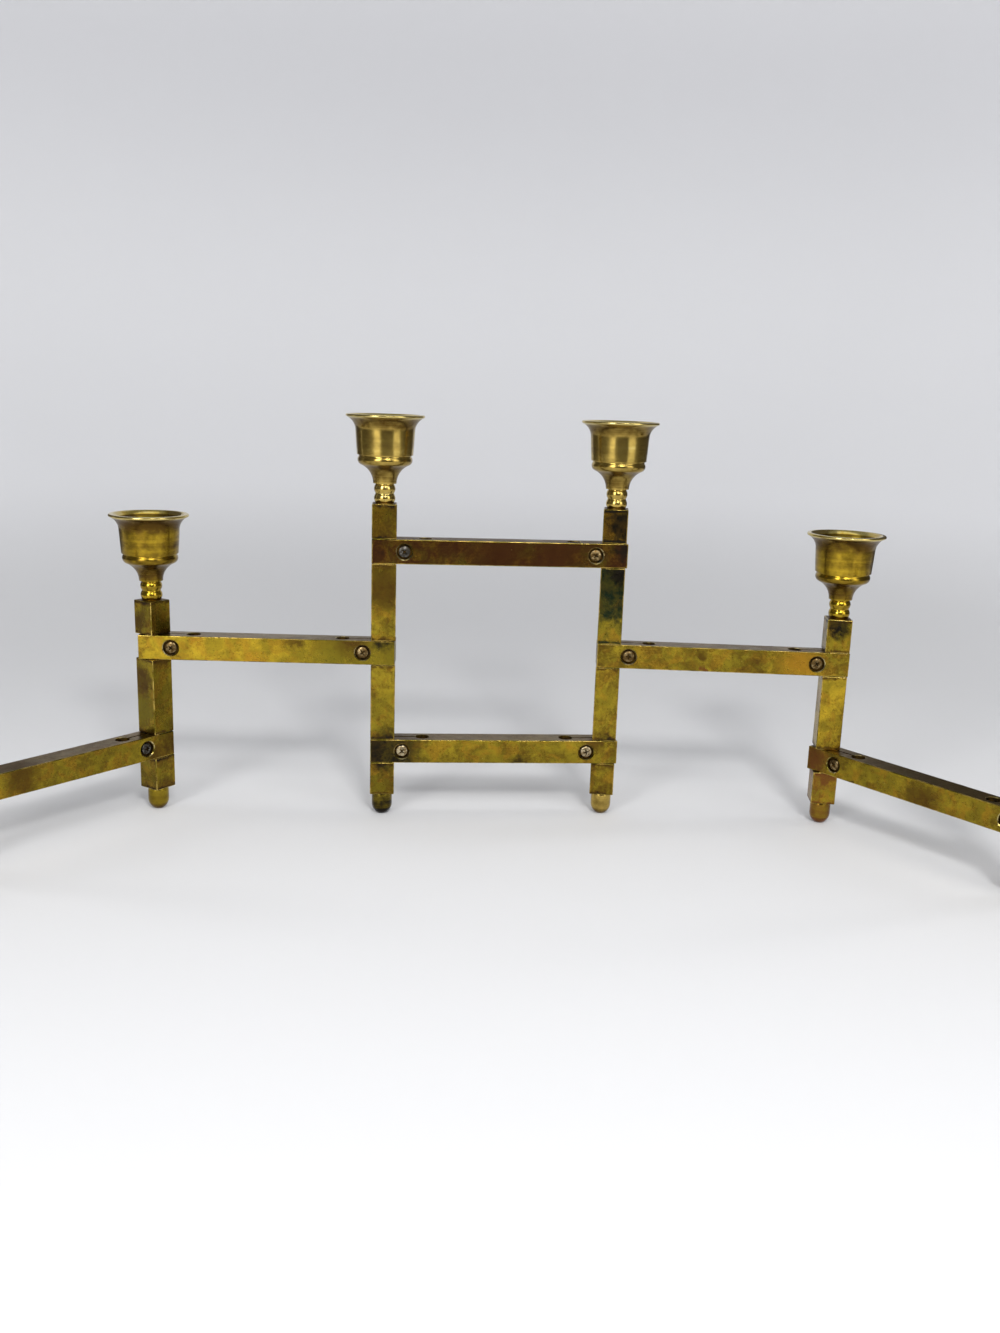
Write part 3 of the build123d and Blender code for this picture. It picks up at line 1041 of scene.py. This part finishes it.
# %% Make the blocks
for node, (light, dark, amount, stains) in BLOCK_TONES.items():
    column = node.rsplit("_cap", 1)[0].rsplit("_base", 1)[0].rsplit("_spacer", 1)[0]
    tall = node_height(node) / MM
    master = short_block if abs(tall - short_height) < 1 else long_block
    turn = node_turn(node)
    foot_of_block = Vector((pivot[column].x, pivot[column].y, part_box(node)[0].z))
    points = []
    for bearing, up, inner, outer, colour in stains:
        angle = math.radians(bearing)
        reach = Vector((math.sin(angle), -math.cos(angle), 0)) * bar / 2
        point = foot_of_block + reach + Vector((0, 0, up * MM))
        points.append((tuple(point), inner * MM, outer * MM, colour))
    seams = ("Z", tall / 2 * MM, tall / 2 * MM, 0.0022, 0.75)
    settings = (tuple(foot_of_block), turn, tall * MM, light, dark, amount, points, seams)
    material = aged_brass(f"{node}_brass", *settings, grain_up=True)

    block = copy_piece(master, f"{node}_bar")
    knock(block, BAR, tall, nicks=3 + round(tall / 6), dents=2, upright=True)
    crisp_shading(block)
    block.data.materials[0] = material
    block.rotation_euler = (0, 0, turn)
    block.location = foot_of_block
    settle(block)
    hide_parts(node)
    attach(block, f"{column}_column")
remove_masters(short_block, long_block)
print("blocks:", len(BLOCK_TONES))

# %% [markdown]
# ## Turned cups and feet
#
# The cups were cut on a lathe from cast brass and polished, so they are cleaner than the bars.
# Faint rings left by the tool run round them. A ring pattern is a noise that only looks at two
# numbers, the distance from the axis and the height, so it is the same all the way round.

# %% Turned brass
def turned_brass(name, centre, light, dark, amount, bands):
    """Brass with tool rings about the vertical axis through `centre`, the middle of its underside.
    Each band is (start, end, extra): from one height to the next the darkening grows by `extra`; the
    bands paint shade and highlights by height."""
    finish = Finish(name)
    local = finish.local(centre)
    flat = finish.stretched((1, 1, 0), local)
    radius = finish.node("ShaderNodeVectorMath", {"operation": "LENGTH"}, {0: flat}, "Value")
    height = finish.node("ShaderNodeSeparateXYZ", None, {"Vector": local}, "Z")
    rings = finish.node("ShaderNodeCombineXYZ", None, {"X": radius, "Z": height})
    fine = finish.noise(3200, 3, 0.6, place=rings)
    broad = finish.noise(420, 2, 0.5, place=rings)
    cloud = finish.noise(95, 3, 0.55, 0.5)
    mottle = finish.noise(360, 3, 0.6)
    tarnish = amount + (cloud - 0.5) * 0.8 + (mottle - 0.5) * 0.5 + (broad - 0.5) * 0.5
    # The height bands are painted light and shade: they darken or lighten the cup by height.
    for start, end, extra in bands:
        tarnish = tarnish + height.ramp(start * MM, end * MM, 0.0, extra)
    # Painted reflection: inside the flared mouth, high up and close to the axis, the cup is made paler,
    # standing for the white it mirrors.
    painted_mouth_reflection = height.ramp(32.5 * MM, 33.5 * MM) * radius.ramp(13.2 * MM, 14.0 * MM, 1.0, 0.0)
    tarnish = tarnish + (fine - 0.5) * 0.28 - painted_mouth_reflection * 0.6
    colour = finish.mix(tarnish.ramp(0.10, 1.0), light, dark)
    # Where the darkening is low the colour goes to pale bare brass: on clean patches this is the metal
    # itself, and on the lip, the beads and inside the mouth it is a painted highlight.
    colour = finish.mix(tarnish.ramp(0.05, 0.35, 1.0, 0.0), colour, BARE_BRASS_AND_HIGHLIGHT)
    speck = finish.noise(1300, 2, 0.5).ramp(0.68, 0.76)
    colour = finish.mix(speck * 0.5, colour, BROWN_TARNISH)
    rough = 0.17 + tarnish.ramp(0.1, 1.2) * 0.13 + (fine - 0.5) * 0.08
    dented = finish.bumped(finish.noise(60, 2, 0.5), 0.00025)
    finish.set(metallic=1.0, base_color=colour, roughness=rough)
    finish.set(normal=finish.bumped(fine, 0.000014, under=dented))
    return finish.material


# %% Cup outline
cup_outline = [(0, 12.5), (3.0, 12.5), (3.0, 0), (4.5, 0), (4.5, 0.5)]
cup_outline += arc_through((4.5, 0.5), (5.15, 2.5), (4.5, 4.5), 10) + [(4.5, 5.0)]
cup_outline += arc_through((4.5, 5.0), (5.15, 7.0), (4.5, 9.0), 10) + [(4.5, 9.5), (5.65, 9.5)]
cup_outline += arc_from_vertical((5.65, 9.5), (11.6, 18.3), 12)
cup_outline += arc_through((11.6, 18.3), (13.1, 20.64), (12.6, 22.2), 10)
cup_outline += [(12.6, 23.0), (13.4, 23.0), (13.8, 28.6), (14.15, 34.2)]
cup_outline += arc_from_vertical((14.15, 34.2), (18.1, 40.5), 12)
cup_outline += arc_through((18.1, 40.5), (18.8, 41.2), (18.1, 41.9), 10) + [(17.0, 41.9)]
cup_outline += arc_from_vertical((11.3, 32.9), (17.0, 41.9), 12)[-2::-1]
cup_outline += [(11.3, 32.9), (11.3, 26.9), (11.3, 21.0), (5.6, 21.0), (0, 21.0)]
cup_master = turned("cup_master", cup_outline, 112, soften=0.14)
print("cup outline points:", len(cup_outline), "faces:", len(cup_master.data.polygons))

# %% Foot outline
shoulder = arc_from_vertical((5.1, 8.9), (4.7, 11.4), 6)
foot_outline = [(0, 3.5), (3.0, 3.5), (3.0, 11.4)] + shoulder[::-1] + [(5.1, 8.9), (5.1, 5.2)]
foot_outline += arc_from_vertical((5.1, 5.2), (2.2, 0), 14) + [(0, 0)]
foot_master = turned("foot_master", foot_outline, 72, soften=0.12)
print("foot faces:", len(foot_master.data.polygons))

# %% Column tones
# Heights in millimetres. On a cup: below the ring the funnel and stem are made darker; the beads of the
# stem are made paler, a painted highlight; the flare is darkened, a painted reflection of the dim room;
# and the lip is made pale, a painted highlight.
CUP_BANDS = ((18.8, 17.6, 0.25), (11, 9, -0.38), (33, 37, 0.30), (39.8, 40.6, -0.85))
# On a foot the bottom is darkened, a painted reflection of the foot's own shadow on the paper.
FOOT_PAINTED_SHADE = ((5, 1, 0.35),)
COLUMN_TONES = {
    # column: cup light, cup dark, cup amount, foot light, foot dark, foot amount
    "left_outer": (GOLD_BRASS, BROWN_TARNISH, 0.40, YELLOW_BRASS, BROWN_TARNISH, 0.5),
    "left_middle": (GOLD_BRASS, BROWN_TARNISH, 0.60, YELLOW_BRASS, BROWN_TARNISH, 0.42),
    "left_inner": (PALE_BRASS, BROWN_TARNISH, 0.46, YELLOW_BRASS, BLACK_TARNISH, 0.72),
    "right_inner": (PALE_BRASS, BROWN_TARNISH, 0.42, PALE_BRASS, BROWN_TARNISH, 0.40),
    "right_middle": (GOLD_BRASS, BROWN_TARNISH, 0.60, YELLOW_BRASS, RED_TARNISH, 0.66),
    "right_outer": (GOLD_BRASS, BROWN_TARNISH, 0.42, YELLOW_BRASS, BROWN_TARNISH, 0.45),
}

# %% Make the cups and feet
for column in COLUMNS:
    cup_light, cup_dark, cup_amount, foot_light, foot_dark, foot_amount = COLUMN_TONES[column]
    turned_pieces = [
        ("cup", cup_master, (cup_light, cup_dark, cup_amount, CUP_BANDS)),
        ("foot", foot_master, (foot_light, foot_dark, foot_amount, FOOT_PAINTED_SHADE)),
    ]
    for kind, master, tones in turned_pieces:
        node = f"{column}_{kind}"
        place = (pivot[column].x, pivot[column].y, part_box(node)[0].z)
        material = turned_brass(f"{node}_brass", place, *tones)
        piece = copy_piece(master, f"{node}_turned", place)
        give_slots(piece, [material])
        crisp_shading(piece, 32)
        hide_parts(node)
        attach(piece, f"{column}_column")
remove_masters(cup_master, foot_master)


# %% [markdown]
# ## Rods
#
# The rods run up the middle of each column and barely show, so the CAD solids stay and only get a
# drawn-steel finish: long, thin scratches up the rod.

# %% Rod steel
rod_finish = Finish("rod_steel")
lines = rod_finish.noise(1.0, 2, 0.5, place=rod_finish.stretched((2600, 2600, 60)))
film = rod_finish.noise(220, 3, 0.6).ramp(0.45, 0.7)
rod_finish.set(metallic=1.0, roughness=0.28 + lines * 0.12)
rod_finish.set(base_color=rod_finish.mix(film, rgb(0.42, 0.41, 0.39), rgb(0.16, 0.13, 0.10)))
rod_finish.set(normal=rod_finish.bumped(lines, 0.00001))
for column in COLUMNS:
    rod_node = frame["nodes"][f"{column}_rod"]
    rod_node.data.materials.clear()
    rod_node.data.materials.append(rod_finish.material)

# %% [markdown]
# ## Paper
#
# The paper is nearly white, with a very faint fibre. Its colour carries painted light and shade: it is
# greyer on the floor and high up the wall, and whitest just above the bend, standing for how brightly
# the lamps light it there.

# %% Paper
paper = Finish("sweep_paper")
rise = paper.node("ShaderNodeSeparateXYZ", None, {"Vector": paper.place}, "Z")
# Painted light and shade: the paper's grey changes with height to stand for how the lamps light it.
paper_painted_light = paper.mix(rise.ramp(0.004, 0.10), rgb(0.585, 0.585, 0.59), rgb(0.71, 0.71, 0.72))
paper_painted_light = paper.mix(rise.ramp(0.24, 0.80), paper_painted_light, rgb(0.545, 0.545, 0.56))
fibre = paper.noise(900, 3, 0.6)
paper.set(base_color=paper_painted_light, roughness=0.75)
paper.set(normal=paper.bumped(fibre, 0.000008))
give_slots(floor, [paper.material])

# %% Clear the selection
deselect()
